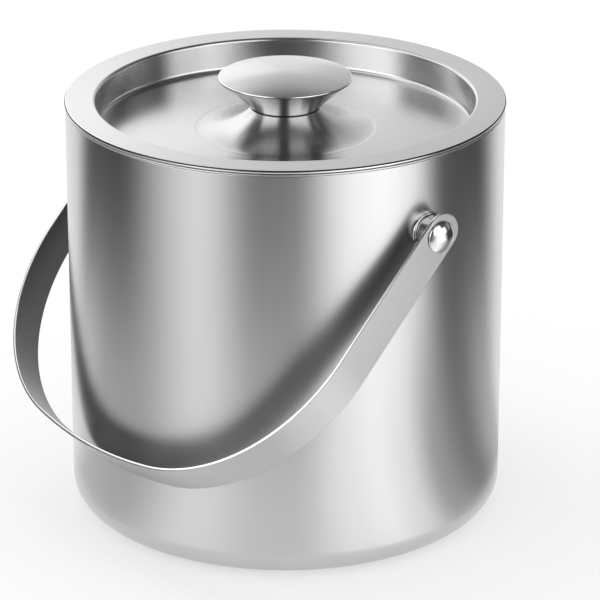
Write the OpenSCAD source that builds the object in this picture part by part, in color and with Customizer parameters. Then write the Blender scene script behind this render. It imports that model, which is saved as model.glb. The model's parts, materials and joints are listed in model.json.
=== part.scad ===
// Double-walled steel ice bucket with a drop-in lid and a swinging strap handle.
// Origin: centre of the base, on the surface it stands on. +Z is up, the handle's
// pivot axis runs along X, and the handle hangs down towards -Y.

/* [Bucket] */
// Outer radius of the straight wall
wall_r = 90; // [86:1:98]
// Height of the lid's flat ring above the base
ring_h = 175.5; // [165:0.5:190]
// Thickness of the steel sheet of the outer shell
shell_t = 1; // [0.8:0.1:1.2]
// Radius of the rounded corner at the foot of the wall
foot_r = 11.5; // [8:0.5:14]
// Radius of the opening in the shell's bottom, closed by the base plate
bottom_hole_r = 62; // [50:1:66]
// Inside radius of the liner that holds the ice
liner_r = 79; // [78.8:0.1:79.4]
// Height of the liner's floor above the base
liner_floor_z = 12; // [10:1:20]
// Radius of the liner's rounded bottom corner
liner_corner_r = 14; // [8:1:20]
// Thickness of the liner's sheet
liner_t = 0.8; // [0.7:0.1:1]

/* [Lid] */
// Radius of the lid's outer edge, just proud of the wall
lid_r = 90.3; // [90.1:0.1:91]
// Radius of the recess wall, on its upper side
recess_r = 77.6; // [77:0.1:77.8]
// Depth of the recess below the flat ring
recess_depth = 13.2; // [11:0.1:16]
// Rounding where the ring turns down into the recess
recess_lip_r = 1.35; // [1:0.05:2]
// Fillet where the recess wall meets the floor
recess_fillet_r = 2; // [1:0.5:4]
// Thickness of the lid's sheet
lid_t = 0.8; // [0.6:0.1:0.9]
// Thickness of the folded outer edge
lid_edge_t = 1.4; // [1.3:0.05:1.6]
// Radius where the raised centre starts to rise from the floor
boss_r = 37; // [33:1:42]
// Height of the raised centre above the lid's floor
boss_h = 8.8; // [5:0.2:11]

/* [Knob] */
// Radius of the knob's neck, where it stands on the lid
neck_r = 14.3; // [11:0.1:16]
// Radius of the knob's rim
knob_r = 27.4; // [24:0.1:30]
// Height of the knob's rim above the lid's raised centre
knob_h = 13.2; // [11:0.2:20]
// Rise of the domed top above the rim
crown_h = 3.2; // [2:0.1:5]
// Thickness of the knob's spun sheet
knob_t = 1; // [0.8:0.1:1.4]

/* [Handle] */
// Height of the pivots above the base
pivot_z = 143.4; // [138:0.1:148]
// Distance from the axis to the outer face of each straight arm
arm_x = 98.5; // [97.5:0.1:102]
// Distance from the pivot axis to the outer face at the middle of the handle
reach = 140; // [138:1:148]
// Outer radius of the two wide bends
bend_r = 75; // [68:1:80]
// Outer radius of the long shallow curve between the bends
front_r = 214; // [205:1:240]
// Width of the strap
strap_w = 16; // [14:0.5:18]
// Thickness of the strap
strap_t = 1.3; // [1:0.1:1.6]
// How far the centre of each rounded end lies beyond its pivot
end_shift = 1.75; // [0:0.25:3]

/* [Pivots] */
// Radius of the seat ring against the wall
seat_r = 8; // [7.5:0.1:9]
// Thickness of the seat ring outside the wall
seat_t = 1.5; // [1:0.1:2]
// Radius of the spacer between the seat and the strap
spacer_r = 7; // [6.5:0.1:7.2]
// Radius of the stud's domed head
dome_r = 6.5; // [6:0.1:7.2]
// Height of the stud's domed head
dome_h = 3.2; // [2.5:0.1:4]
// Radius of the stud's plain shoulder, on which the strap turns
shoulder_r = 2.5; // [2.3:0.1:3]
// Radius of the stud's threaded end
thread_r = 2; // [1.5:0.1:2.2]

/* [Hidden] */
$fn = 96;

// Fits
body_gap = 0.3;          // between bodies that move apart
axial_gap = 0.2;         // each side of the strap on its stud
turning_fit = 0.06;      // radial clearance of the strap on the shoulder
thread_fit = 0.05;       // radial clearance standing for a thread's flanks
drill_fit = 0.2;         // radial clearance of a drilled hole
eps = 0.01;
far = 400;               // longer than the whole object

// Bucket
rim_top_z = ring_h - lid_edge_t - body_gap;
shell_top_z = rim_top_z - liner_t;
wall_in_r = wall_r - shell_t;
plate_lap = 6;
plate_t = 1;
plate_fit = 0.5;
rim_lip_r = 1.4;

// Lid
floor_z = ring_h - recess_depth;
boss_top_z = floor_z + boss_h;
boss_arc_r = ((boss_r - neck_r) * (boss_r - neck_r) + boss_h * boss_h) / (2 * boss_h);
edge_round_r = lid_edge_t / 2;
fold_w = 3;
screw_r = 2.5;
screw_hole_r = screw_r + drill_fit;

// Knob
rim_z = boss_top_z + knob_h;
cap_r = (knob_r * knob_r + crown_h * crown_h) / (2 * crown_h);
cap_edge_t = 0.85;
cap_land_w = 2.4;
knob_floor_t = 1.2;
flare_r = 154;
flare_run = knob_r - neck_r;
flare_rise = knob_h - cap_edge_t;
flare_chord = sqrt(flare_run * flare_run + flare_rise * flare_rise);
flare_back = sqrt(flare_r * flare_r - flare_chord * flare_chord / 4);
bush_r = 6;
bush_len = 10;
screw_reach = 8;
screw_head_r = 4.6;
screw_head_h = 2.8;
socket_r = 1.7;
socket_depth = 1.6;
knob_washer_r = 7;
knob_washer_t = 1;

// Handle
arm_in_x = arm_x - strap_t;
front_dx = arm_x - bend_r;
front_cy = front_r - reach;
front_half_angle = asin(front_dx / (front_r - bend_r));
arm_len = (front_r - bend_r) * cos(front_half_angle) - front_cy;
bend_steps = 26;         // straight lines that stand for each bend
front_steps = 12;        // and for the curve between them
end_fuller = 0.2;        // a rounded end's radius over half the strap's width
end_flat = 1;            // straight edges run this far past the centre of the rounded end
contact_a = reach - strap_t;
contact_b = strap_w / 2;
contact_c = wall_r + body_gap;
rest_angle = acos(contact_c / sqrt(contact_a * contact_a + contact_b * contact_b)) - atan(contact_b / contact_a);

// Pivots
spacer_end_x = arm_in_x - axial_gap;
head_x = arm_x + axial_gap;
spacer_round_r = 0.8;
washer_t = 1.2;
washer_r = 6;
nut_across_corners_r = 4.04;
nut_h = 3.2;
washer_in_x = wall_in_r - washer_t;
stud_tail = 0.8;
dome_ball_r = (dome_r * dome_r + dome_h * dome_h) / (2 * dome_h);

// ---- shared shapes ----

// Half section of a cup's outline, with a rounded lower corner
module cup_section(r, z0, z1, corner) {
    translate([0, z0]) square([r - corner, z1 - z0]);
    translate([0, z0 + corner]) square([r, z1 - z0 - corner]);
    translate([r - corner, z0 + corner]) circle(r = corner);
}

// Quarter of a bent sheet's section; sx and sz choose the quadrant
module bend_section(cx, cz, r_in, r_out, sx, sz) {
    translate([cx, cz])
    intersection() {
        difference() {
            circle(r = r_out);
            circle(r = r_in);
        }
        scale([sx, sz]) square([r_out + 1, r_out + 1]);
    }
}

// Stands a Z-built pivot piece along +X at the pivot's height
module at_pivot(x) {
    translate([x, 0, pivot_z]) rotate([0, 90, 0]) children();
}

// ---- bucket ----

module outer_shell() {
    color("silver")
    difference() {
        rotate_extrude($fn = 180)
        difference() {
            cup_section(wall_r, 0, shell_top_z, foot_r);
            cup_section(wall_in_r, shell_t, shell_top_z + 1, foot_r - shell_t);
            translate([0, -1]) square([bottom_hole_r, shell_t + 2]);
        }
        translate([-far / 2, 0, pivot_z]) rotate([0, 90, 0]) cylinder(h = far, r = thread_r + drill_fit);
    }
}

module base_plate() {
    color("gainsboro")
    rotate_extrude($fn = 180)
    union() {
        square([bottom_hole_r - plate_fit, plate_t]);
        translate([bottom_hole_r - plate_fit - plate_t, plate_t])
        square([plate_lap + plate_t, plate_t]);
    }
}

module inner_liner() {
    out_r = liner_r + liner_t;
    lip_cz = rim_top_z - rim_lip_r;
    color("lightgray")
    rotate_extrude($fn = 180)
    union() {
        difference() {
            cup_section(out_r, liner_floor_z - liner_t, lip_cz, liner_corner_r + liner_t);
            cup_section(liner_r, liner_floor_z, lip_cz + 1, liner_corner_r);
        }
        bend_section(liner_r + rim_lip_r, lip_cz, rim_lip_r - liner_t, rim_lip_r, -1, 1);
        translate([liner_r + rim_lip_r, shell_top_z])
        square([wall_r - liner_r - rim_lip_r, liner_t]);
    }
}

// ---- pivots ----

module pivot_seat() {
    color("white")
    difference() {
        at_pivot(wall_r - seat_t) cylinder(h = 2 * seat_t, r = seat_r);
        cylinder(h = far, r = wall_r, $fn = 180);
        at_pivot(wall_r - far / 2) cylinder(h = far, r = thread_r + drill_fit);
    }
}

module pivot_spacer() {
    x0 = wall_r + seat_t;
    length = spacer_end_x - x0;
    color("white")
    at_pivot(x0)
    rotate_extrude()
    difference() {
        union() {
            square([spacer_r - spacer_round_r, length]);
            translate([0, spacer_round_r]) square([spacer_r, length - 2 * spacer_round_r]);
            translate([spacer_r - spacer_round_r, spacer_round_r]) circle(r = spacer_round_r);
            translate([spacer_r - spacer_round_r, length - spacer_round_r]) circle(r = spacer_round_r);
        }
        translate([0, -1]) square([thread_r + drill_fit, length + 2]);
    }
}

module pivot_stud() {
    tail_x = washer_in_x - nut_h - stud_tail;
    color("white")
    union() {
        at_pivot(head_x)
        rotate_extrude()
        intersection() {
            translate([0, dome_h - dome_ball_r]) circle(r = dome_ball_r);
            square([dome_r, dome_h]);
        }
        at_pivot(spacer_end_x) cylinder(h = head_x - spacer_end_x, r = shoulder_r);
        at_pivot(tail_x) cylinder(h = spacer_end_x - tail_x, r = thread_r);
    }
}

module backing_washer() {
    color("darkgray")
    difference() {
        at_pivot(washer_in_x) cylinder(h = washer_t, r = washer_r);
        difference() {
            cylinder(h = far, r = wall_r + far, $fn = 180);
            translate([0, 0, -1]) cylinder(h = far + 2, r = wall_in_r, $fn = 180);
        }
        at_pivot(washer_in_x - 1) cylinder(h = washer_t + 2, r = thread_r + drill_fit);
    }
}

module lock_nut() {
    color("dimgray")
    difference() {
        at_pivot(washer_in_x - nut_h) cylinder(h = nut_h, r = nut_across_corners_r, $fn = 6);
        at_pivot(washer_in_x - nut_h - 1) cylinder(h = nut_h + 2, r = thread_r + thread_fit);
    }
}

module pivot_seat_right() { pivot_seat(); }
module pivot_spacer_right() { pivot_spacer(); }
module pivot_stud_right() { pivot_stud(); }
module backing_washer_right() { backing_washer(); }
module lock_nut_right() { lock_nut(); }
module pivot_seat_left() { mirror([1, 0, 0]) pivot_seat(); }
module pivot_spacer_left() { mirror([1, 0, 0]) pivot_spacer(); }
module pivot_stud_left() { mirror([1, 0, 0]) pivot_stud(); }
module backing_washer_left() { mirror([1, 0, 0]) backing_washer(); }
module lock_nut_left() { mirror([1, 0, 0]) lock_nut(); }

// ---- handle ----

// Points along an arc, both ends included
function arc_points(centre, r, a0, a1, steps) = [
    for (i = [0:steps])
        let (a = a0 + (a1 - a0) * i / steps)
        centre + r * [cos(a), sin(a)]
];

// The handle's line seen along its width, from one arm's end round to the other's,
// at a depth below its outer face
function strap_line(depth) = concat(
    [[arm_x - depth, strap_w]],
    arc_points([front_dx, -arm_len], bend_r - depth, 0, front_half_angle - 90, bend_steps),
    arc_points([0, front_cy], front_r - depth, front_half_angle - 90, -front_half_angle - 90, front_steps),
    arc_points([-front_dx, -arm_len], bend_r - depth, -front_half_angle - 90, -180, bend_steps),
    [[depth - arm_x, strap_w]]
);

function reversed(points) = [for (i = [len(points) - 1:-1:0]) points[i]];

module bail_strap() {
    hole_r = shoulder_r + turning_fit;
    color("silver")
    translate([0, 0, pivot_z])
    rotate([rest_angle, 0, 0])
    difference() {
        intersection() {
            translate([0, 0, -strap_w / 2])
            linear_extrude(height = strap_w)
            polygon(concat(strap_line(0), reversed(strap_line(strap_t))));
            union() {
                translate([-far / 2, end_shift + end_flat - far, -far / 2]) cube(far);
                translate([-far / 2, end_shift, 0])
                rotate([0, 90, 0])
                cylinder(h = far, r = strap_w / 2 + end_fuller);
            }
        }
        translate([-far / 2, 0, 0]) rotate([0, 90, 0]) cylinder(h = far, r = hole_r);
    }
}

// ---- lid ----

module lid_pan() {
    edge_cx = lid_r - edge_round_r;
    lip_cx = recess_r + recess_lip_r;
    lip_cz = ring_h - recess_lip_r;
    fillet_cx = recess_r - recess_fillet_r;
    fillet_cz = floor_z + recess_fillet_r;
    color("silver")
    rotate_extrude($fn = 180)
    union() {
        // flat ring with its folded edge
        translate([lip_cx, ring_h - lid_t]) square([edge_cx - lip_cx, lid_t]);
        translate([edge_cx, ring_h - edge_round_r]) circle(r = edge_round_r);
        translate([edge_cx - fold_w, ring_h - lid_edge_t]) square([fold_w, lid_edge_t]);
        // recess wall, turned over at the top and filleted into the floor
        bend_section(lip_cx, lip_cz, recess_lip_r - lid_t, recess_lip_r, -1, 1);
        translate([recess_r, fillet_cz]) square([lid_t, lip_cz - fillet_cz]);
        bend_section(fillet_cx, fillet_cz, recess_fillet_r, recess_fillet_r + lid_t, 1, -1);
        translate([boss_r, floor_z - lid_t]) square([fillet_cx - boss_r, lid_t]);
        // raised centre, sweeping up to a flat land under the knob
        intersection() {
            translate([boss_r, floor_z + boss_arc_r])
            difference() {
                circle(r = boss_arc_r + lid_t, $fn = 360);
                circle(r = boss_arc_r, $fn = 360);
            }
            translate([neck_r, floor_z - 2]) square([boss_r - neck_r, boss_h + 2]);
        }
        translate([screw_hole_r, boss_top_z - lid_t]) square([neck_r - screw_hole_r + eps, lid_t]);
    }
}

module knob_body() {
    top_z = rim_z - cap_edge_t;
    mid = [(neck_r + knob_r) / 2, (boss_top_z + top_z) / 2];
    away = [flare_rise, -flare_run] / flare_chord;
    color("silver")
    rotate_extrude($fn = 180)
    difference() {
        polygon([
            [screw_hole_r, boss_top_z],
            [neck_r, boss_top_z],
            [knob_r, top_z],
            [knob_r - 1.5 * knob_t, top_z],
            [neck_r - knob_t, boss_top_z + knob_floor_t],
            [screw_hole_r, boss_top_z + knob_floor_t]
        ]);
        translate(mid + away * flare_back) circle(r = flare_r, $fn = 720);
    }
}

module knob_cap() {
    color("gainsboro")
    rotate_extrude($fn = 180)
    difference() {
        intersection() {
            translate([0, rim_z + crown_h - cap_r]) circle(r = cap_r, $fn = 360);
            translate([0, rim_z - cap_edge_t]) square([knob_r, far]);
        }
        intersection() {
            translate([0, rim_z + crown_h - cap_r]) circle(r = cap_r - cap_edge_t, $fn = 360);
            square([knob_r - cap_land_w, far]);
        }
    }
}

module knob_bush() {
    z0 = boss_top_z + knob_floor_t;
    color("darkgray")
    difference() {
        translate([0, 0, z0]) cylinder(h = bush_len, r = bush_r);
        translate([0, 0, z0 - 1]) cylinder(h = bush_len + 2, r = screw_r + thread_fit);
    }
}

module knob_screw() {
    head_top_z = boss_top_z - lid_t - knob_washer_t;
    color("dimgray")
    difference() {
        union() {
            translate([0, 0, head_top_z - screw_head_h]) cylinder(h = screw_head_h, r = screw_head_r);
            translate([0, 0, head_top_z - eps])
            cylinder(h = knob_washer_t + lid_t + knob_floor_t + screw_reach + eps, r = screw_r);
        }
        translate([0, 0, head_top_z - screw_head_h - 1]) cylinder(h = socket_depth + 1, r = socket_r, $fn = 6);
    }
}

module knob_washer() {
    z0 = boss_top_z - lid_t - knob_washer_t;
    color("darkgray")
    difference() {
        translate([0, 0, z0]) cylinder(h = knob_washer_t, r = knob_washer_r);
        translate([0, 0, z0 - 1]) cylinder(h = knob_washer_t + 2, r = screw_hole_r);
    }
}

outer_shell();
base_plate();
inner_liner();
pivot_seat_right();
pivot_spacer_right();
pivot_stud_right();
backing_washer_right();
lock_nut_right();
pivot_seat_left();
pivot_spacer_left();
pivot_stud_left();
backing_washer_left();
lock_nut_left();
bail_strap();
lid_pan();
knob_body();
knob_cap();
knob_bush();
knob_screw();
knob_washer();
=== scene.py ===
# %% [markdown]
# # A double-walled steel ice bucket
#
# The bucket is nearly all sheet steel, spun, drawn or bent, so this lesson is about two things:
# turning clean profiles on a lathe, and giving steel its brushed or polished skin. The frame that
# is loaded first holds the working model: its bodies, joints and sizes. Every piece made here
# stands in the place that the frame gives and rides on one of its bodies.

# %% Load the frame
import bpy
import bmesh
import json
from math import acos, asin, atan2, cos, degrees, pi, radians, sin, sqrt
from mathutils import Matrix, Vector


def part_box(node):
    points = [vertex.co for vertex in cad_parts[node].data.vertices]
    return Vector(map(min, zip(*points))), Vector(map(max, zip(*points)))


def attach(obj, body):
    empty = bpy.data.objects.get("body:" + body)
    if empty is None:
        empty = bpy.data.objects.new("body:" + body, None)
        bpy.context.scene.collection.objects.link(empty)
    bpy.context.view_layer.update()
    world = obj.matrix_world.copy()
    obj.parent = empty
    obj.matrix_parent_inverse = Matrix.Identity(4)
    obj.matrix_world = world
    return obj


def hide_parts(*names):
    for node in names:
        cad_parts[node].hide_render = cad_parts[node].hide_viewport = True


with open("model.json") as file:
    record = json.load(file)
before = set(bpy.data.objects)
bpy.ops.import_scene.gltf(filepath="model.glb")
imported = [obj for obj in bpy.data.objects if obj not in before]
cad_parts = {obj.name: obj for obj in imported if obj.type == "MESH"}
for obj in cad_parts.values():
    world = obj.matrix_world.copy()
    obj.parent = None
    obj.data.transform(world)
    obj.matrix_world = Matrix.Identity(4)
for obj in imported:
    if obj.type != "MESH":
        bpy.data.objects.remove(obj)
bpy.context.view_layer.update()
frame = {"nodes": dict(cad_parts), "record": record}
MM = 0.001

# %% [markdown]
# ## Sizes
#
# The big sizes are read off the frame's own nodes, so a piece can't drift from the working model.
# Only the small ones, such as the radius of a folded edge, are chosen here.

# %% Read the sizes from the frame
def corners(node):
    """A node's lowest and highest corners at rest."""
    low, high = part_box(node)
    return Vector(low), Vector(high)


shell_high = corners("outer_shell")[1]
liner_low, liner_high = corners("inner_liner")
lid_low, lid_high = corners("lid_pan")
cone_low, cone_high = corners("knob_body")
cap_high = corners("knob_cap")[1]
strap_high = corners("bail_strap")[1]
stud_low, stud_high = corners("pivot_stud_right")
spacer_low, spacer_high = corners("pivot_spacer_right")
hinge = next(j for j in frame["record"]["behaviour"]["joints"] if j["type"] == "hinge")
pivot_z = hinge["pos_m"][2]
wall_r = shell_high.x
ring_z = lid_high.z
print("wall radius %.1f mm, ring height %.1f mm, pivots at %.1f mm"
      % (wall_r / MM, ring_z / MM, pivot_z / MM))

# %% [markdown]
# ## Camera
#
# The bucket is seen from its front right, a little from above, through a long lens that keeps
# the wall's sides nearly parallel. The camera aims just beside the axis, half way up.

# %% Place the camera
view_turn = radians(51.5)
view_rise = radians(21.83)
view_distance = 17.22 * wall_r
aim_right = 0.0669 * wall_r
aim_height = 0.953 * wall_r
lens_mm = 222.5
view_reach = 20

to_camera = Vector((sin(view_turn), -cos(view_turn), 0))
view_right = Vector((cos(view_turn), sin(view_turn), 0))
aim = view_right * aim_right + Vector((0, 0, aim_height))
camera_data = bpy.data.cameras.new("camera")
camera_data.lens = lens_mm
camera_data.clip_end = view_reach
camera = bpy.data.objects.new("camera", camera_data)
bpy.context.scene.collection.objects.link(camera)
sight = to_camera * cos(view_rise) + Vector((0, 0, sin(view_rise)))
camera.location = aim + view_distance * sight
camera.rotation_euler = (-sight).to_track_quat("-Z", "Y").to_euler()
bpy.context.scene.camera = camera
bpy.context.scene.view_settings.view_transform = "Standard"
print("camera at", [round(c, 3) for c in camera.location])

# %% [markdown]
# ## Stage and light
#
# Steel shows little of its own colour: what is seen on it is the studio. So the studio is built
# with care, from a pale floor that runs out of view, a tent of glowing cloth round the bucket, a
# white sky and one soft lamp. A single lamp would leave the steel black beside its highlight.
# The tent gives it broad soft lights and dark flags between them instead.

# %% Tools for objects and materials
def link(obj):
    """Put an object into the scene."""
    bpy.context.scene.collection.objects.link(obj)
    return obj


def mesh_object(name, bm):
    """Make a finished bmesh an object."""
    mesh = bpy.data.meshes.new(name)
    bm.to_mesh(mesh)
    bm.free()
    return link(bpy.data.objects.new(name, mesh))


def new_material(name):
    """A node material and its Principled shader."""
    material = bpy.data.materials.new(name)
    material.use_nodes = True
    return material, material.node_tree, material.node_tree.nodes["Principled BSDF"]


WHITE = (1, 1, 1, 1)
print("tools ready")

# %% Floor
floor_reach = 6.0
floor_grey = 0.45
floor_glow = 0.52
bm = bmesh.new()
bmesh.ops.create_circle(bm, cap_ends=True, radius=floor_reach, segments=96)
floor = mesh_object("floor", bm)
floor_paint, tree, shader = new_material("floor_paint")
shader.inputs["Base Color"].default_value = (floor_grey, floor_grey, floor_grey, 1)
shader.inputs["Roughness"].default_value = 0.9
shader.inputs["Specular IOR Level"].default_value = 0.1
shader.inputs["Emission Color"].default_value = WHITE
shader.inputs["Emission Strength"].default_value = floor_glow
floor.data.materials.append(floor_paint)
print("floor reaches", floor_reach, "m")

# %% [markdown]
# ## The tent
#
# The tent is a wide bowl of cloth with the bucket in its middle. It only shows in reflections, so
# the camera looks straight through it. The camera looks down on the bucket, and the upright wall
# therefore mirrors the low parts of the tent: the foot near the bucket, then the skirt further
# out. The flat lid and the knob mirror the head behind them, and the eased edge of the strap
# mirrors the roof. Each of these four rings has its own lights and flags, given as degrees round
# from the camera, right positive, and the brightness there.

# %% Light and dark on the four rings of cloth
foot_ring = [
    (-180, 1.0), (-112, 1.0), (-90, 0.68), (-66, 0.62), (-34, 1.06), (-8, 0.90), (4, 0.88),
    (26, 1.24), (38, 1.40), (51, 1.18), (66, 0.52), (87, 0.28), (110, 0.60), (130, 1.0), (180, 1.0),
]
skirt_ring = [
    (-180, 1.1), (-132, 1.0), (-113, 0.05), (-86, 0.02), (-42, 1.05), (-14, 0.16), (3, 0.20),
    (35, 1.50), (48, 1.70), (61, 1.55), (82, 0.08), (112, 0.05), (140, 1.0), (180, 1.1),
]
head_ring = [
    (-180, 1.12), (-172, 1.40), (-150, 1.50), (-130, 0.95), (-110, 0.10), (-84, 0.08), (-68, 2.70),
    (-32, 2.70), (-14, 0.06), (6, 0.06), (22, 2.30), (52, 2.40), (72, 2.20), (86, 0.12), (102, 0.35),
    (128, 0.10), (158, 0.55), (172, 0.75), (180, 1.12),
]
roof_ring = [
    (-180, 0.70), (-152, 1.60), (-80, 1.80), (-26, 1.60), (-12, 0.10), (8, 0.10), (18, 1.90),
    (52, 2.00), (64, 0.12), (130, 0.10), (180, 0.70),
]
brightest = 3.0
print("tent rings with", len(foot_ring), len(skirt_ring), len(head_ring), len(roof_ring), "stops")

# %% Shape the tent
tent_lift = 0.8 * MM
tent_hem = 0.105
tent_fold = 1.05
tent_bend = 0.15
tent_top = 1.60
# The bend's points, as shares of its size: out from the fold, up from the floor.
bend_points = ((0.3, 0.05), (0.7, 0.3), (0.95, 0.7), (1.0, 1.2))
tent_line = [(tent_fold, tent_lift)]
tent_line += [(tent_fold + out * tent_bend, up * tent_bend) for out, up in bend_points]
tent_line += [(tent_fold + tent_bend, tent_top)]
bm = bmesh.new()
last = bm.verts.new((tent_hem, 0, tent_lift))
for r, z in tent_line:
    point = bm.verts.new((r, 0, z))
    bm.edges.new((last, point))
    last = point
bmesh.ops.spin(bm, geom=bm.verts[:] + bm.edges[:], cent=(0, 0, 0), axis=(0, 0, 1),
               angle=2 * pi, steps=128, use_merge=True)
tent = mesh_object("tent", bm)
tent.rotation_euler.z = view_turn
tent.visible_camera = False
tent.visible_diffuse = False
tent.visible_shadow = False
print("tent %.2f m wide and %.2f m high" % (2 * (tent_fold + tent_bend), tent_top))

# %% Tools for painting by place
def calc(tree, operation, a, b=None):
    """A Math node fed by sockets or numbers."""
    node = tree.nodes.new("ShaderNodeMath")
    node.operation = operation
    for socket, value in zip(node.inputs, (a, b)):
        if isinstance(value, (int, float)):
            socket.default_value = value
        elif value is not None:
            tree.links.new(value, socket)
    return node.outputs[0]


def out_from_axis(tree, x, y):
    """The distance from the upright axis."""
    return calc(tree, "SQRT", calc(tree, "ADD", calc(tree, "MULTIPLY", x, x), calc(tree, "MULTIPLY", y, y)))


def object_place(tree):
    """The object's own x, y and z as sockets."""
    coords = tree.nodes.new("ShaderNodeTexCoord")
    split = tree.nodes.new("ShaderNodeSeparateXYZ")
    tree.links.new(coords.outputs["Object"], split.inputs[0])
    return split.outputs


def ring_ramp(tree, bearing, ring):
    """One ring of cloth as a ramp of grey all the way round."""
    ramp = tree.nodes.new("ShaderNodeValToRGB")
    ramp.color_ramp.interpolation = "EASE"
    stops = ramp.color_ramp.elements
    for i, (angle, level) in enumerate(ring):
        place = (angle + 180) / 360
        stop = stops[0] if i == 0 else stops[-1] if i == len(ring) - 1 else stops.new(place)
        shade = level / brightest
        stop.position = place
        stop.color = (shade, shade, shade, 1)
    tree.links.new(bearing, ramp.inputs[0])
    return ramp.outputs["Color"]


def blend_by(tree, value, low, high, colour_low, colour_high):
    """Pass softly from one colour to another as a value rises."""
    rise = tree.nodes.new("ShaderNodeMapRange")
    rise.interpolation_type = "SMOOTHSTEP"
    rise.inputs["From Min"].default_value = low
    rise.inputs["From Max"].default_value = high
    tree.links.new(value, rise.inputs["Value"])
    mix = tree.nodes.new("ShaderNodeMix")
    mix.data_type = "RGBA"
    tree.links.new(rise.outputs["Result"], mix.inputs[0])
    tree.links.new(colour_low, mix.inputs[6])
    tree.links.new(colour_high, mix.inputs[7])
    return mix.outputs[2]


print("tools for cloth and steel ready")

# %% Paint the tent's cloth
skirt_from, skirt_to = 0.22, 0.46
head_from, head_to = 0.18, 0.34
roof_from, roof_to = 0.70, 0.80
fade_from, fade_to = 1.0, 1.55
faded = 0.1
cloth, tree, shader = new_material("tent_cloth")
tree.nodes.remove(shader)
x, y, z = object_place(tree)
angle = calc(tree, "ARCTAN2", x, calc(tree, "MULTIPLY", y, -1))
bearing = calc(tree, "ADD", calc(tree, "DIVIDE", angle, 2 * pi), 0.5)
along_cloth = calc(tree, "ADD", out_from_axis(tree, x, y), z)
foot = ring_ramp(tree, bearing, foot_ring)
skirt = ring_ramp(tree, bearing, skirt_ring)
head = ring_ramp(tree, bearing, head_ring)
roof = ring_ramp(tree, bearing, roof_ring)
low_cloth = blend_by(tree, along_cloth, skirt_from, skirt_to, foot, skirt)
wall_cloth = blend_by(tree, z, head_from, head_to, low_cloth, head)
all_cloth = blend_by(tree, z, roof_from, roof_to, wall_cloth, roof)
fade = tree.nodes.new("ShaderNodeMapRange")
fade.interpolation_type = "SMOOTHSTEP"
for name, number in (("From Min", fade_from), ("From Max", fade_to),
                     ("To Min", brightest), ("To Max", faded * brightest)):
    fade.inputs[name].default_value = number
glow = tree.nodes.new("ShaderNodeEmission")
tree.links.new(z, fade.inputs["Value"])
tree.links.new(fade.outputs["Result"], glow.inputs["Strength"])
tree.links.new(all_cloth, glow.inputs["Color"])
tree.links.new(glow.outputs[0], tree.nodes["Material Output"].inputs["Surface"])
tent.data.materials.append(cloth)
print("cloth painted, brightest", brightest)

# %% [markdown]
# ## Sky and lamp
#
# The sky is white where the camera sees it and where it lights dull things, so the background
# stays clean. Steel sees a dim sky instead, or it would be washed out above the tent. One soft
# square lamp, high behind the left, gives the floor its faint shadow.

# %% Sky
sky_for_steel = 0.12
sky_for_eye = 1.0
world = bpy.data.worlds.new("studio")
world.use_nodes = True
tree = world.node_tree
dim = tree.nodes["Background"]
dim.inputs["Color"].default_value = WHITE
dim.inputs["Strength"].default_value = sky_for_steel
white = tree.nodes.new("ShaderNodeBackground")
white.inputs["Color"].default_value = WHITE
white.inputs["Strength"].default_value = sky_for_eye
path = tree.nodes.new("ShaderNodeLightPath")
choose = tree.nodes.new("ShaderNodeMixShader")
tree.links.new(path.outputs["Is Glossy Ray"], choose.inputs[0])
tree.links.new(white.outputs[0], choose.inputs[1])
tree.links.new(dim.outputs[0], choose.inputs[2])
tree.links.new(choose.outputs[0], tree.nodes["World Output"].inputs["Surface"])
bpy.context.scene.world = world
print("sky", sky_for_eye, "for the eye,", sky_for_steel, "for steel")

# %% Lamp
lamp_turn = view_turn - radians(120)
lamp_rise = radians(62)
lamp_distance = 1.6
lamp_side = 0.8
lamp_power = 3
lamp_data = bpy.data.lights.new("top_light", "AREA")
lamp_data.shape = "RECTANGLE"
lamp_data.size = lamp_side
lamp_data.size_y = lamp_side
lamp_data.energy = lamp_power
lamp = link(bpy.data.objects.new("top_light", lamp_data))
toward = Vector((sin(lamp_turn) * cos(lamp_rise), -cos(lamp_turn) * cos(lamp_rise), sin(lamp_rise)))
lamp.location = Vector((0, 0, ring_z)) + toward * lamp_distance
lamp.rotation_euler = (-toward).to_track_quat("-Z", "Y").to_euler()
print("lamp at", [round(c, 2) for c in lamp.location])

# %% [markdown]
# ## Turning on a lathe
#
# The shell, the liner, the lid and the knob are all round. On the real ones a disc of sheet is
# pressed over a spinning form. Here a pen draws half the section, straight lines as new edges
# and bends as a spun vertex, and one full spin turns it into the piece. Faces get smooth shading
# with sharp edges kept by angle, and weighted normals hold the big faces flat beside small bends.

# %% Pen
def pen_start(bm, r, z):
    """Set the pen down on the half section: r from the axis, z up."""
    return bm.verts.new((r, 0, z))


def pen_line(bm, last, r, z):
    """Draw a straight line to a new point."""
    point = bm.verts.new((r, 0, z))
    bm.edges.new((last, point))
    return point


def pen_arc(bm, last, r, z, turn, steps=8):
    """Swing the pen round the centre (r, z), clockwise for a positive turn in degrees."""
    swung = bmesh.ops.spin(bm, geom=[last], cent=(r, 0, z), axis=(0, 1, 0), angle=radians(turn),
                           steps=steps, use_duplicate=False)
    return next(v for v in swung["geom_last"] if isinstance(v, bmesh.types.BMVert))


print("pen ready")

# %% Finish and spin
TURNS = 192
SMALL_TURNS = 96
WIDE_TURNS = 256
MERGE = 0.001 * MM


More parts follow.
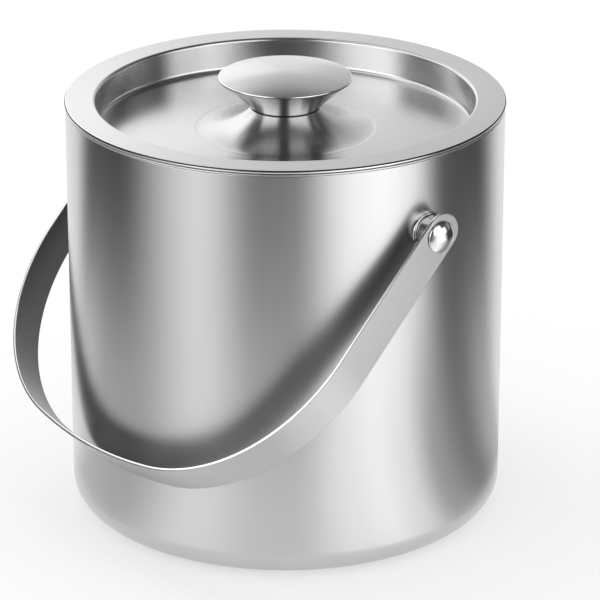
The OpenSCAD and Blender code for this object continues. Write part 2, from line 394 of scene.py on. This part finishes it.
def finish_mesh(name, bm, body, replaced, material, sharp=50, trims=()):
    """Close, orient and shade a new piece, and hang it on its body.

    Trims are further materials, painted highlights and painted dark lines among them, each with a rule that
    says which faces have it, or with None where the faces have chosen already.
    """
    bmesh.ops.remove_doubles(bm, verts=bm.verts, dist=MERGE)
    bmesh.ops.recalc_face_normals(bm, faces=bm.faces)
    bm.normal_update()
    for number, (trim, rule) in enumerate(trims, start=1):
        for face in bm.faces:
            if rule and rule(face):
                face.material_index = number
    piece = mesh_object(name, bm)
    piece.data.shade_smooth()
    piece.data.set_sharp_from_angle(angle=radians(sharp))
    piece.modifiers.new("flat_faces", "WEIGHTED_NORMAL").keep_sharp = True
    piece.data.materials.append(material)
    for trim, rule in trims:
        piece.data.materials.append(trim)
    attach(piece, body)
    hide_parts(replaced)
    size = piece.dimensions / MM
    print("%s: %d faces, %.1f x %.1f x %.1f mm" % (name, len(piece.data.polygons), *size))
    return piece


def close_and_turn(bm, first, last, turns=TURNS):
    """Close the section's outline, unless the axis closes it, and spin it all the way round."""
    if first.co.x > 0:
        bm.edges.new((last, first))
    bmesh.ops.spin(bm, geom=bm.verts[:] + bm.edges[:], cent=(0, 0, 0), axis=(0, 0, 1),
                   angle=2 * pi, steps=turns, use_merge=True)


print("a full turn has %d, %d or %d steps" % (SMALL_TURNS, TURNS, WIDE_TURNS))

# %% [markdown]
# ## Brushed steel
#
# The pieces are brushed while they turn, so the scratches run round the axis. Light then spreads
# across the scratches: the shader's anisotropy does that, with its tangent taken round the axis.
# The scratches themselves are noise that changes fast across them and hardly at all along them.
# The noise is four-dimensional: distance from the axis and height are both stretched, so walls,
# rings and cones all get the same fine lines and no seam shows. The lines stay very faint: grain
# this fine hardly shows as lines, only as the long soft streaks of light that it makes.

# %% Grain
def turned_grain(tree, along, across, detail):
    """Noise drawn out round the axis: cells per metre along and across the scratches."""
    x, y, z = object_place(tree)
    join = tree.nodes.new("ShaderNodeCombineXYZ")
    tree.links.new(calc(tree, "MULTIPLY", x, along), join.inputs[0])
    tree.links.new(calc(tree, "MULTIPLY", y, along), join.inputs[1])
    tree.links.new(calc(tree, "MULTIPLY", out_from_axis(tree, x, y), across), join.inputs[2])
    noise = tree.nodes.new("ShaderNodeTexNoise")
    noise.noise_dimensions = "4D"
    noise.inputs["Scale"].default_value = 1
    noise.inputs["Detail"].default_value = detail
    noise.inputs["Roughness"].default_value = 0.6
    tree.links.new(join.outputs[0], noise.inputs["Vector"])
    tree.links.new(calc(tree, "MULTIPLY", z, across), noise.inputs["W"])
    return noise.outputs["Fac"]


def spread(tree, value, low, high, from_low=0.1, from_high=0.9):
    """Map a noise value onto a range."""
    node = tree.nodes.new("ShaderNodeMapRange")
    tree.links.new(value, node.inputs["Value"])
    for name, number in (("From Min", from_low), ("From Max", from_high),
                         ("To Min", low), ("To Max", high)):
        node.inputs[name].default_value = number
    return node.outputs["Result"]


def grey(tree, value):
    """One value as a neutral colour."""
    node = tree.nodes.new("ShaderNodeCombineColor")
    for socket in node.inputs:
        tree.links.new(value, socket)
    return node.outputs[0]


print("grain ready")

# %% Brushed, polished and machined steel
QUARTER_TURN = 0.25
fine_grit = {"along": 200, "across": 200, "detail": 2}
knob_grit = {"along": 15, "across": 3000, "detail": 3}


def steel(name, level, roughness, anisotropy=0.0, grit=fine_grit, tone=0.01, rough_tone=0.02):
    """Steel whose brightness and roughness waver with its grain."""
    material, tree, shader = new_material(name)
    shader.inputs["Metallic"].default_value = 1
    shader.inputs["Anisotropic"].default_value = anisotropy
    shader.inputs["Anisotropic Rotation"].default_value = QUARTER_TURN if anisotropy else 0
    grain = turned_grain(tree, **grit)
    shade = grey(tree, spread(tree, grain, level - tone, level + tone))
    rough = spread(tree, grain, roughness - rough_tone, roughness + rough_tone)
    tree.links.new(shade, shader.inputs["Base Color"])
    tree.links.new(rough, shader.inputs["Roughness"])
    if anisotropy:
        tangent = tree.nodes.new("ShaderNodeTangent")
        tangent.direction_type = "RADIAL"
        tangent.axis = "Z"
        tree.links.new(tangent.outputs[0], shader.inputs["Tangent"])
    return material


brushed_wall = steel("brushed_wall", level=0.60, roughness=0.27, anisotropy=0.75,
                     grit={"along": 4, "across": 1800, "detail": 3}, tone=0.007, rough_tone=0.005)
brushed_lid = steel("brushed_lid", level=0.62, roughness=0.24, anisotropy=0.7,
                    grit={"along": 8, "across": 2200, "detail": 3}, rough_tone=0.008)
brushed_knob = steel("brushed_knob", level=0.60, roughness=0.20, anisotropy=0.6,
                     grit=knob_grit, rough_tone=0.008)
brushed_cone = steel("brushed_cone", level=0.46, roughness=0.18, anisotropy=0.6,
                     grit=knob_grit, rough_tone=0.008)
satin_liner = steel("satin_liner", level=0.60, roughness=0.36, anisotropy=0.5,
                    grit={"along": 12, "across": 1500, "detail": 3}, tone=0.02, rough_tone=0.05)
polished = steel("polished_pivot", level=0.66, roughness=0.07)
# Polished edges whose colour is lightened beyond steel's own, as a painted highlight.
edge_highlight = steel("polished_edge_painted_highlight", level=0.88, roughness=0.13, rough_tone=0.01)
# Dark steel for the strap's eased edge beside its outer face: a painted dark reflection.
painted_edge_reflection = steel("painted_dark_edge", level=0.12, roughness=0.30)
# Near-black steel for painted dark lines: a painted dark reflection on the lid's fold, and painted shade in
# the waist under the knob.
painted_dark_line = steel("painted_dark_line_steel", level=0.05, roughness=0.45)
machined = steel("machined_steel", level=0.50, roughness=0.38,
                 grit={"along": 500, "across": 2500, "detail": 3}, tone=0.03, rough_tone=0.05)
print("steels", [m.name for m in bpy.data.materials])

# %% [markdown]
# ## Outer shell
#
# The shell is a drawn cup with a straight wall and a rounded foot. The profile runs up the
# outside, over the cut edge, down the inside and back along the bottom to the hole that the base
# plate closes.

# %% Turn the shell
sheet = 1.0 * MM
foot_r = 11.5 * MM
hole_r = 62 * MM
edge = 0.25 * MM
top_z = shell_high.z
bm = bmesh.new()
first = pen_start(bm, hole_r, 0)
last = pen_line(bm, first, wall_r - foot_r, 0)
last = pen_arc(bm, last, wall_r - foot_r, foot_r, -90, 16)
last = pen_line(bm, last, wall_r, top_z - edge)
last = pen_arc(bm, last, wall_r - edge, top_z - edge, -90, 3)
last = pen_line(bm, last, wall_r - sheet, top_z)
last = pen_line(bm, last, wall_r - sheet, foot_r)
last = pen_arc(bm, last, wall_r - foot_r, foot_r, 90, 12)
last = pen_line(bm, last, hole_r, sheet)
close_and_turn(bm, first, last, WIDE_TURNS)
finish_mesh("outer_wall", bm, "bucket", "outer_shell", brushed_wall)

# %% [markdown]
# ## Liner
#
# The liner is a second drawn cup. Its rim turns outwards over the shell's edge, so it closes the
# gap between the walls and gives the lid a flat seat.

# %% Turn the liner
liner_t = 0.8 * MM
liner_r = 79 * MM
liner_floor = liner_low.z + liner_t
corner_r = 14 * MM
lip_r = 1.4 * MM
rim_z = liner_high.z
rim_edge = liner_t / 2
bm = bmesh.new()
first = pen_start(bm, 0, liner_floor)
last = pen_line(bm, first, liner_r - corner_r, liner_floor)
last = pen_arc(bm, last, liner_r - corner_r, liner_floor + corner_r, -90, 16)
last = pen_line(bm, last, liner_r, rim_z - lip_r)
last = pen_arc(bm, last, liner_r + lip_r, rim_z - lip_r, 90, 8)
last = pen_line(bm, last, wall_r - rim_edge, rim_z)
last = pen_arc(bm, last, wall_r - rim_edge, rim_z - rim_edge, 180, 8)
last = pen_line(bm, last, liner_r + lip_r, rim_z - liner_t)
last = pen_arc(bm, last, liner_r + lip_r, rim_z - lip_r, -90, 6)
last = pen_line(bm, last, liner_r + liner_t, liner_floor + corner_r)
last = pen_arc(bm, last, liner_r - corner_r, liner_floor + corner_r, 90, 16)
last = pen_line(bm, last, 0, liner_floor - liner_t)
close_and_turn(bm, first, last)
finish_mesh("ice_liner", bm, "bucket", "inner_liner", satin_liner)

# %% [markdown]
# ## Lid
#
# The lid is one pressing: a folded outer edge, a broad flat ring that covers the rim, a recess,
# and a centre that sweeps up like a bell's mouth to carry the knob. A fine pressed line marks
# where the sweep begins.

# %% Turn the lid
lid_t = 0.8 * MM
lid_r = lid_high.x
fold_r = 0.7 * MM
fold_w = 3 * MM
recess_r = 77.6 * MM
recess_lip = 1.35 * MM
recess_fillet = 2 * MM
floor_z = lid_low.z + lid_t
boss_r = 37 * MM
boss_h = cone_low.z - floor_z
neck_r = 14.3 * MM
sweep_r = ((boss_r - neck_r) ** 2 + boss_h ** 2) / (2 * boss_h)
sweep_turn = degrees(asin((boss_r - neck_r) / sweep_r))
bead_w = 1.3 * MM
bead_h = 0.20 * MM
bm = bmesh.new()
first = pen_start(bm, 0, floor_z + boss_h)
last = pen_line(bm, first, neck_r, floor_z + boss_h)
last = pen_arc(bm, last, boss_r, floor_z + sweep_r, -sweep_turn, 24)
last = pen_line(bm, last, boss_r + 0.5 * bead_w, floor_z + bead_h)
last = pen_line(bm, last, boss_r + bead_w, floor_z)
last = pen_line(bm, last, recess_r - recess_fillet, floor_z)
last = pen_arc(bm, last, recess_r - recess_fillet, floor_z + recess_fillet, -90, 10)
last = pen_line(bm, last, recess_r, ring_z - recess_lip)
last = pen_arc(bm, last, recess_r + recess_lip, ring_z - recess_lip, 90, 10)
last = pen_line(bm, last, lid_r - fold_r, ring_z)
last = pen_arc(bm, last, lid_r - fold_r, ring_z - fold_r, 180, 14)
last = pen_line(bm, last, lid_r - fold_r - fold_w, ring_z - 2 * fold_r)
last = pen_line(bm, last, lid_r - fold_r - fold_w, ring_z - lid_t)
last = pen_line(bm, last, recess_r + recess_lip, ring_z - lid_t)
last = pen_arc(bm, last, recess_r + recess_lip, ring_z - recess_lip, -90, 6)
last = pen_line(bm, last, recess_r + lid_t, floor_z + recess_fillet)
last = pen_arc(bm, last, recess_r - recess_fillet, floor_z + recess_fillet, 90, 8)
last = pen_line(bm, last, boss_r, floor_z - lid_t)
last = pen_arc(bm, last, boss_r, floor_z + sweep_r, sweep_turn, 16)
last = pen_line(bm, last, 0, floor_z + boss_h - lid_t)
close_and_turn(bm, first, last, WIDE_TURNS)
print("lid's sweep has a radius of %.1f mm" % (sweep_r / MM))

# %% Finish the lid
# Tilts that bound the band of the lid's fold that is painted dark, as a painted reflection.
painted_line_flattest = 0.90
painted_line_steepest = 0.30


def from_axis(face):
    """How far a face's middle is from the bucket's axis."""
    return Vector(face.calc_center_median().xy).length


def on_fold(face):
    """True on the folded outer edge of the lid."""
    return from_axis(face) > lid_r - fold_r and face.calc_center_median().z > ring_z - 2 * fold_r


def on_painted_line(face):
    """True on the hairline where the ring's face ends and its fold begins, which is painted dark as a
    painted reflection.
    """
    return on_fold(face) and painted_line_steepest < face.normal.z < painted_line_flattest


# The lid's fold is polished and lightened as a painted highlight, and a band of it is painted dark as a
# painted reflection.
finish_mesh("lid_dish", bm, "lid", "lid_pan", brushed_lid, sharp=40,
            trims=[(edge_highlight, on_fold), (painted_dark_line, on_painted_line)])

# %% [markdown]
# ## Knob
#
# The knob is spun in two halves: a flared cone, slightly hollow in its line like a trumpet, and
# a shallow dome that is crimped over its rim. The crimp leaves a thin polished edge, lightened as a painted
# highlight.

# %% Turn the cone
knob_r = cone_high.x
neck_z = cone_low.z
waist_h = 0.6 * MM
waist_in = 0.3 * MM
waist_z = neck_z + waist_h
cone_top = cone_high.z
cone_wall = 1.0 * MM
flare_r = 100 * MM
chord = Vector((knob_r - neck_r, cone_top - waist_z))
flare_turn = degrees(2 * asin(chord.length / (2 * flare_r)))
away = Vector((chord.y, -chord.x)).normalized()
flare_mid = Vector(((neck_r + knob_r) / 2, (waist_z + cone_top) / 2))
flare_centre = flare_mid + away * sqrt(flare_r ** 2 - (chord.length / 2) ** 2)
bm = bmesh.new()
first = pen_start(bm, 0, neck_z)
last = pen_line(bm, first, neck_r - waist_in, neck_z)
last = pen_line(bm, last, neck_r - waist_in, waist_z)
last = pen_line(bm, last, neck_r, waist_z)
last = pen_arc(bm, last, flare_centre.x, flare_centre.y, flare_turn, 16)
last = pen_line(bm, last, knob_r - 1.5 * cone_wall, cone_top)
last = pen_line(bm, last, neck_r - 2 * cone_wall, waist_z + cone_wall)
last = pen_line(bm, last, 0, waist_z + cone_wall)
close_and_turn(bm, first, last)
# The waist under the cone is painted near-black: painted shade in the gap between the knob and the lid.
finish_mesh("knob_cone", bm, "lid", "knob_body", brushed_cone, sharp=40,
            trims=[(painted_dark_line, lambda face: face.calc_center_median().z < waist_z)])

# %% Turn the domed top
cap_z = cap_high.z
crimp_r = 0.42 * MM
crown = cap_z - (cone_top + 2 * crimp_r)
cap_r = knob_r - crimp_r
crown_r = (cap_r ** 2 + crown ** 2) / (2 * crown)
crown_turn = degrees(asin(cap_r / crown_r))
bm = bmesh.new()
first = pen_start(bm, 0, cap_z)
last = pen_arc(bm, first, 0, cap_z - crown_r, crown_turn, 24)
last = pen_arc(bm, last, cap_r, cone_top + crimp_r, 180, 10)
last = pen_line(bm, last, 0, cone_top)
close_and_turn(bm, first, last)
finish_mesh("knob_dome", bm, "lid", "knob_cap", brushed_knob, sharp=60,
            trims=[(edge_highlight, lambda face: from_axis(face) > cap_r)])

# %% [markdown]
# ## Pivots
#
# On each side a seat ring lies against the wall, a polished spacer stands on it, and a stud with
# a domed head goes through the strap and the spacer to its nut inside. They are turned about
# their own axis, then laid over and moved out to the wall.

# %% Seat rings
seat_r = 8 * MM
seat_soft = 0.5 * MM
seat_out = spacer_low.x
seat_in = wall_r - 0.6 * MM
shank_r = 2 * MM


def lay_out(bm, side, x):
    """Lay a piece turned round Z along the pivot axis, on the right (1) or left (-1) side."""
    bmesh.ops.transform(bm, matrix=Matrix.Translation((side * x, 0, pivot_z))
                        @ Matrix.Rotation(side * pi / 2, 4, "Y"), verts=bm.verts)


def turn_seat(side, word):
    """The flat ring that lies against the wall."""
    bm = bmesh.new()
    thick = seat_out - seat_in
    first = pen_start(bm, shank_r, 0)
    last = pen_line(bm, first, seat_r, 0)
    last = pen_line(bm, last, seat_r, thick - seat_soft)
    last = pen_arc(bm, last, seat_r - seat_soft, thick - seat_soft, -90, 6)
    last = pen_line(bm, last, shank_r, thick)
    close_and_turn(bm, first, last, SMALL_TURNS)
    lay_out(bm, side, seat_in)
    finish_mesh("seat_ring_" + word, bm, "bucket", "pivot_seat_" + word, polished)


print("seat ring %.1f mm thick" % ((seat_out - seat_in) / MM))

# %% Spacers
spacer_r = 7 * MM
spacer_soft = 0.8 * MM
spacer_len = spacer_high.x - spacer_low.x


def turn_spacer(side, word):
    """The round collar that holds the strap away from the wall."""
    bm = bmesh.new()
    first = pen_start(bm, shank_r, 0)
    last = pen_line(bm, first, spacer_r - spacer_soft, 0)
    last = pen_arc(bm, last, spacer_r - spacer_soft, spacer_soft, -90, 6)
    last = pen_line(bm, last, spacer_r, spacer_len - spacer_soft)
    last = pen_arc(bm, last, spacer_r - spacer_soft, spacer_len - spacer_soft, -90, 6)
    last = pen_line(bm, last, shank_r, spacer_len)
    close_and_turn(bm, first, last, SMALL_TURNS)
    lay_out(bm, side, spacer_low.x)
    finish_mesh("spacer_" + word, bm, "bucket", "pivot_spacer_" + word, polished)


print("spacer %.1f mm long" % (spacer_len / MM))

# %% Studs
shoulder_r = 2.5 * MM
shoulder_start = spacer_high.x - stud_low.x
head_gap = 0.2 * MM
head_skirt = 0.5 * MM
head_r = stud_high.y
head_start = strap_high.x + head_gap - stud_low.x
head_end = stud_high.x - stud_low.x
dome_h = head_end - head_start - head_skirt
ball_r = (head_r ** 2 + dome_h ** 2) / (2 * dome_h)
ball_turn = degrees(asin(head_r / ball_r))


def turn_stud(side, word):
    """The stud: a domed head, a shoulder inside the strap's hole and a shank to the nut."""
    bm = bmesh.new()
    first = pen_start(bm, 0, head_end)
    last = pen_arc(bm, first, 0, head_end - ball_r, ball_turn, 20)
    last = pen_line(bm, last, head_r, head_start)
    last = pen_line(bm, last, shoulder_r, head_start)
    last = pen_line(bm, last, shoulder_r, shoulder_start)
    last = pen_line(bm, last, shank_r, shoulder_start)
    last = pen_line(bm, last, shank_r, 0)
    last = pen_line(bm, last, 0, 0)
    close_and_turn(bm, first, last, SMALL_TURNS)
    lay_out(bm, side, stud_low.x)
    finish_mesh("dome_stud_" + word, bm, "bucket", "pivot_stud_" + word, polished)


print("stud's dome is %.1f mm high" % (dome_h / MM))

# %% Turn both pivots
for side, word in ((1, "right"), (-1, "left")):
    turn_seat(side, word)
    turn_spacer(side, word)
    turn_stud(side, word)

# %% [markdown]
# ## Strap handle
#
# The handle is a flat strap with round ends, bent into two straight arms, two wide bends and one
# long shallow curve. It is made as in a workshop. Half of the flat blank is drawn with the same
# pen and mirrored, so both halves match; then it gets its thickness and a small bevel all round,
# and at the end it is bent along the line. Bending a finished blank keeps one even thickness, which
# a shape drawn bent would not. The strap is brushed along its length, so its scratches and its
# tangent follow a UV map: U runs along the strap and V across it, both in metres.

# %% Draw the strap's line
strap_w = 16 * MM
strap_t = 1.3 * MM
arm_x = strap_high.x
reach = 140 * MM
bend_r = 75 * MM
front_r = 214 * MM
end_shift = 1.75 * MM
wall_gap = 0.3 * MM
front_dx = arm_x - bend_r
front_cy = front_r - reach
front_half = asin(front_dx / (front_r - bend_r))
arm_len = (front_r - bend_r) * cos(front_half) - front_cy
half_w = strap_w / 2
tip = end_shift + half_w
rest_on = sqrt((reach - strap_t) ** 2 + half_w ** 2)
rest_angle = acos((wall_r + wall_gap) / rest_on) - atan2(half_w, reach - strap_t)
print("arms %.1f mm long, handle rests %.1f degrees below level" % (arm_len / MM, degrees(rest_angle)))

# %% Walk along the bent line
def bend_line():
    """The outer line as (length, radius) sections, from one tip to the other; radius 0 is straight."""
    turn = pi / 2 - front_half
    arm = (tip + arm_len, 0)
    bend = (bend_r * turn, bend_r)
    return [arm, bend, (front_r * 2 * front_half, front_r), bend, arm]


def place_on_line(s, inward):
    """Where a point of the flat blank ends up: s along the outer line, inward through the sheet."""
    x, t, heading = arm_x, -tip, 0.0
    for length, radius in bend_line():
        step = min(s, length)
        if radius:
            turned = step / radius
            centre = Vector((x - radius * cos(heading), t - radius * sin(heading)))
            heading += turned
            x = centre.x + radius * cos(heading)
            t = centre.y + radius * sin(heading)
        else:
            x -= step * sin(heading)
            t += step * cos(heading)
        s -= step
        if s <= 0:
            break
    return x - inward * cos(heading), t - inward * sin(heading)


strap_length = sum(length for length, radius in bend_line())
line_end = [round(v / MM, 2) for v in place_on_line(strap_length, 0)]
print("blank %.1f mm long, ends at" % (strap_length / MM), line_end)

# %% Cut the flat blank
strap_hole = 2.7 * MM
bm = bmesh.new()
first = pen_start(bm, 0, 0)
last = pen_arc(bm, first, half_w, 0, 90, 24)
last = pen_line(bm, last, strap_length - half_w, half_w)
last = pen_arc(bm, last, strap_length - half_w, 0, 90, 24)
for centre in (strap_length - tip, tip):
    last = pen_line(bm, last, centre + strap_hole, 0)
    last = pen_arc(bm, last, centre, 0, -180, 24)
bm.edges.new((last, first))
bmesh.ops.contextual_create(bm, geom=bm.edges[:])
bmesh.ops.mirror(bm, geom=bm.verts[:] + bm.edges[:] + bm.faces[:], axis="Z", merge_dist=MERGE)
bmesh.ops.remove_doubles(bm, verts=bm.verts, dist=MERGE)
bmesh.ops.recalc_face_normals(bm, faces=bm.faces)
print("half blank and its mirror:", len(bm.faces), "faces")

# %% Give it thickness and ease its edges
strap_ease = 0.34 * MM
rim_angle = radians(60)
slab = bmesh.ops.extrude_face_region(bm, geom=bm.faces[:], use_keep_orig=True)
raised = [g for g in slab["geom"] if isinstance(g, bmesh.types.BMVert)]
bmesh.ops.translate(bm, verts=raised, vec=(0, strap_t, 0))
bmesh.ops.recalc_face_normals(bm, faces=bm.faces)
rims = [e for e in bm.edges if len(e.link_faces) == 2 and e.calc_face_angle() > rim_angle]
bmesh.ops.bevel(bm, geom=rims, offset=strap_ease, segments=4, profile=0.5, affect="EDGES", material=-1)
open_edges = sum(len(e.link_faces) != 2 for e in bm.edges)
print("blank: %d faces, %d open edges" % (len(bm.faces), open_edges))

# %% Cut across where it will bend
bend_step = radians(1.6)
arm_cuts = 8
cut_tolerance = 1e-7
cut = 0.0
for length, radius in bend_line():
    cuts = max(1, round(length / (radius * bend_step))) if radius else arm_cuts
    for i in range(cuts):
        cut_s = cut + length * i / cuts
        if tip + half_w < cut_s < strap_length - tip - half_w:
            bmesh.ops.bisect_plane(bm, geom=bm.verts[:] + bm.edges[:] + bm.faces[:],
                                   dist=cut_tolerance, plane_co=(cut_s, 0, 0), plane_no=(1, 0, 0))
    cut += length
bm.normal_update()
print("blank now has", len(bm.faces), "faces")

# %% Choose the finish of each face: 0 brushed, 1 polished edge with a painted highlight, 2 painted dark reflection next to the outer face
flat_facing = 0.97
line_depth = 0.3 * strap_ease
for face in bm.faces:
    eased = abs(face.normal.y) < flat_facing
    outer_side = face.calc_center_median().y < line_depth
    face.material_index = (2 if outer_side else 1) if eased else 0
print("%d faces are eased edges" % sum(face.material_index > 0 for face in bm.faces))

# %% Map and bend it
uv = bm.loops.layers.uv.new("blank")
depth_layer = bm.verts.layers.float.new("depth")
for face in bm.faces:
    for loop in face.loops:
        loop[uv].uv = (loop.vert.co.x, loop.vert.co.z + loop.vert.co.y)
for vert in bm.verts:
    vert[depth_layer] = vert.co.y / strap_t
    x, t = place_on_line(vert.co.x, vert.co.y)
    vert.co = (x, -t, vert.co.z)
bmesh.ops.transform(bm, matrix=Matrix.Translation((0, 0, pivot_z)) @ Matrix.Rotation(rest_angle, 4, "X"),
                    verts=bm.verts)
print("strap bent and laid on the wall")

# %% [markdown]
# ## Finish of the strap
#
# The outer face is brushed bright. The inner face, which is turned to the wall, looks much darker,
# so shade is painted into its colour and its steel is made darker. An attribute tells the two apart: it was
# written before the bend and grows from 0 on the outer face to 1 on the inner one. The eased edges are
# polished, with a painted highlight, and a fine dark line, a painted dark reflection, runs where they meet
# the outer face. Materials given to single faces do both.

# %% Steel brushed along the strap
grain_along = 25
grain_across = 3000
inner_painted_shade = 0.36
strap_paint, tree, shader = new_material("brushed_strap")
shader.inputs["Metallic"].default_value = 1
shader.inputs["Anisotropic"].default_value = 0.6
shader.inputs["Anisotropic Rotation"].default_value = QUARTER_TURN
uv_node = tree.nodes.new("ShaderNodeUVMap")
uv_node.uv_map = "blank"
split = tree.nodes.new("ShaderNodeSeparateXYZ")
tree.links.new(uv_node.outputs[0], split.inputs[0])
join = tree.nodes.new("ShaderNodeCombineXYZ")
tree.links.new(calc(tree, "MULTIPLY", split.outputs[0], grain_along), join.inputs[0])
tree.links.new(calc(tree, "MULTIPLY", split.outputs[1], grain_across), join.inputs[1])
noise = tree.nodes.new("ShaderNodeTexNoise")
noise.inputs["Scale"].default_value = 1
noise.inputs["Detail"].default_value = 3
tree.links.new(join.outputs[0], noise.inputs["Vector"])
depth = tree.nodes.new("ShaderNodeAttribute")
depth.attribute_name = "depth"
# Shade is painted into the inner face, which is turned to the wall: its colour is made darker there.
inside = spread(tree, depth.outputs["Fac"], low=0.0, high=inner_painted_shade, from_low=0.5, from_high=0.8)
tone = calc(tree, "SUBTRACT", spread(tree, noise.outputs["Fac"], low=0.48, high=0.52), inside)
tree.links.new(grey(tree, tone), shader.inputs["Base Color"])
tree.links.new(spread(tree, noise.outputs["Fac"], low=0.25, high=0.33), shader.inputs["Roughness"])
tangent = tree.nodes.new("ShaderNodeTangent")
tangent.direction_type = "UV_MAP"
tangent.uv_map = "blank"
tree.links.new(tangent.outputs[0], shader.inputs["Tangent"])
finish_mesh("strap_handle", bm, "handle", "bail_strap", strap_paint,
            trims=[(edge_highlight, None), (painted_edge_reflection, None)])

# %% [markdown]
# ## Parts kept from the frame
#
# The base plate, the bush, the screw, the washers and the nuts are plain parts whose working shape
# is already right. Making them again would add nothing, so they keep their shape and only get
# their finish: satin steel for the plate, machined steel for the rest.

# %% Finish the kept parts
kept = {"base_plate": satin_liner}
for name in ("knob_bush", "knob_screw", "knob_washer"):
    kept[name] = machined
for word in ("right", "left"):
    kept["backing_washer_" + word] = machined
    kept["lock_nut_" + word] = machined
for name, material in kept.items():
    for place in frame["nodes"][name].material_slots:
        place.link = "OBJECT"
        place.material = material
print("kept", len(kept), "parts")
